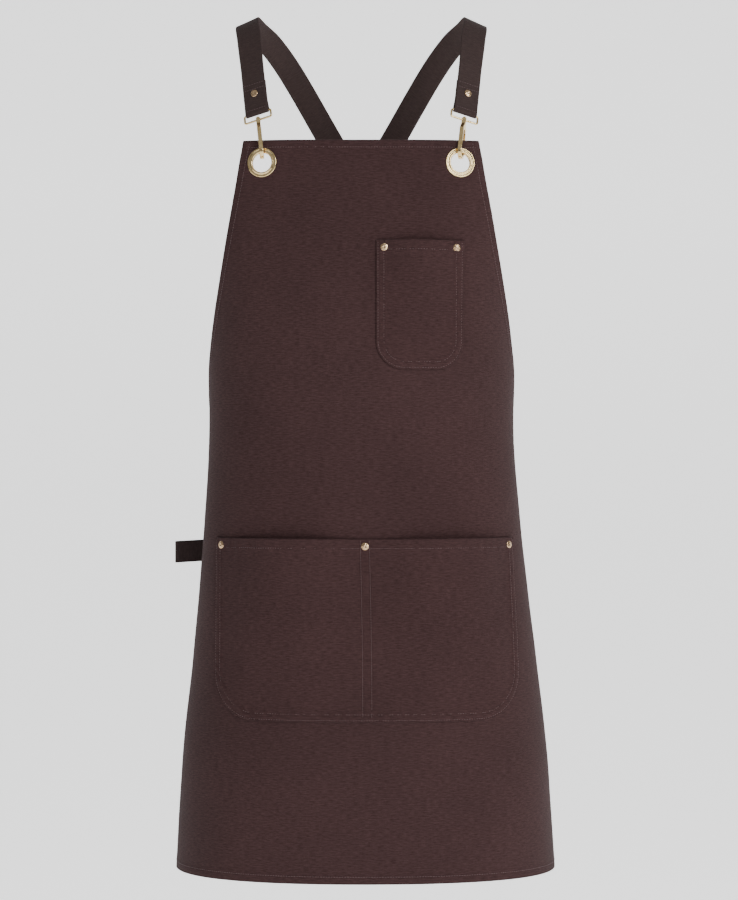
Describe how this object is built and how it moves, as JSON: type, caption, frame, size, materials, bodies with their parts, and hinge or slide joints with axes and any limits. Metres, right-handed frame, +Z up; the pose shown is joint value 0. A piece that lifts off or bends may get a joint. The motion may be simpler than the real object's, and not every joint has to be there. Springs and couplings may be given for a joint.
{
  "type": "butcher apron",
  "caption": "Long bib apron with chest and waist pockets, a towel loop and cross-back straps that clip to bib eyelets with swivel snap hooks and adjust at the back.",
  "frame": {"origin": "midway between the two shoulder crests, at the height of the tops of the straps, where the apron hangs on its wearer", "axes": "+Z up, the front of the apron faces -Y, +X to the right as seen from in front"},
  "size_m": [0.4591, 0.2205, 1.0201],
  "materials": {
    "canvas": "plain woven cotton canvas",
    "webbing": "tight woven cotton strap",
    "thread": "sewing thread",
    "brass": "polished pale brass",
    "rivet_brass": "satin brass",
    "steel": "spring wire"
  },
  "bodies": {
    "apron": {"apron_panel": "canvas", "chest_pocket": "canvas", "waist_pocket": "canvas", "chest_pocket_rivet_caps": "rivet_brass", "chest_pocket_rivet_posts": "rivet_brass", "waist_pocket_rivet_caps": "rivet_brass", "waist_pocket_rivet_posts": "rivet_brass", "towel_loop": "webbing", "left_strap": "webbing", "left_strap_rivet_cap": "rivet_brass", "left_strap_rivet_post": "rivet_brass", "left_ring_tab": "webbing", "left_strap_ring": "brass", "left_strap_return": "webbing", "left_eyelet": "brass", "left_eyelet_washer": "brass", "right_strap": "webbing", "right_strap_rivet_cap": "rivet_brass", "right_strap_rivet_post": "rivet_brass", "right_ring_tab": "webbing", "right_strap_ring": "brass", "right_strap_return": "webbing", "right_eyelet": "brass", "right_eyelet_washer": "brass"},
    "left_frame": {"left_hook_frame": "brass"},
    "left_hook": {"left_hook_body": "brass", "left_gate_pin": "brass", "left_gate_spring": "steel"},
    "left_gate": {"left_hook_gate": "brass"},
    "left_slider": {"left_strap_slider": "brass", "left_strap_end_loop": "webbing"},
    "right_frame": {"right_hook_frame": "brass"},
    "right_hook": {"right_hook_body": "brass", "right_gate_pin": "brass", "right_gate_spring": "steel"},
    "right_gate": {"right_hook_gate": "brass"},
    "right_slider": {"right_strap_slider": "brass", "right_strap_end_loop": "webbing"}
  },
  "joints": [
    {"name": "left_frame_tilt", "type": "hinge", "parent": "apron", "child": "left_frame", "pos_m": [-0.12159, -0.07563, -0.11761], "axis": [0.8988, -0.3645, 0.2434], "range_deg": [-0.6, 0.6]},
    {"name": "left_hook_swivel", "type": "hinge", "parent": "left_frame", "child": "left_hook", "pos_m": [-0.12062, -0.07894, -0.12614], "axis": [-0.105, 0.36, 0.927], "range_deg": [-31, 11]},
    {"name": "left_gate_hinge", "type": "hinge", "parent": "left_hook", "child": "left_gate", "pos_m": [-0.11944, -0.07786, -0.13829], "axis": [-0.9945, -0.0326, -0.1], "range_deg": [0, 24], "stiffness_Nm_per_rad": 0.004, "springref_deg": -20.05},
    {"name": "left_slider_slide", "type": "slide", "parent": "apron", "child": "left_slider", "axis": [-0.4443, 0.1503, 0.8832], "range_m": [-0.025, 0.025], "deforming": ["left_strap_return"]},
    {"name": "right_frame_tilt", "type": "hinge", "parent": "apron", "child": "right_frame", "pos_m": [0.12159, -0.07563, -0.11761], "axis": [0.8988, 0.3645, -0.2434], "range_deg": [-0.6, 0.6]},
    {"name": "right_hook_swivel", "type": "hinge", "parent": "right_frame", "child": "right_hook", "pos_m": [0.12062, -0.07894, -0.12614], "axis": [0.105, 0.36, 0.927], "range_deg": [0, 42]},
    {"name": "right_gate_hinge", "type": "hinge", "parent": "right_hook", "child": "right_gate", "pos_m": [0.12046, -0.07799, -0.13835], "axis": [-0.9773, 0.2099, 0.0292], "range_deg": [0, 24], "stiffness_Nm_per_rad": 0.004, "springref_deg": -20.05},
    {"name": "right_slider_slide", "type": "slide", "parent": "apron", "child": "right_slider", "axis": [0.4443, 0.1503, 0.8832], "range_m": [-0.025, 0.025], "deforming": ["right_strap_return"]}
  ]
}
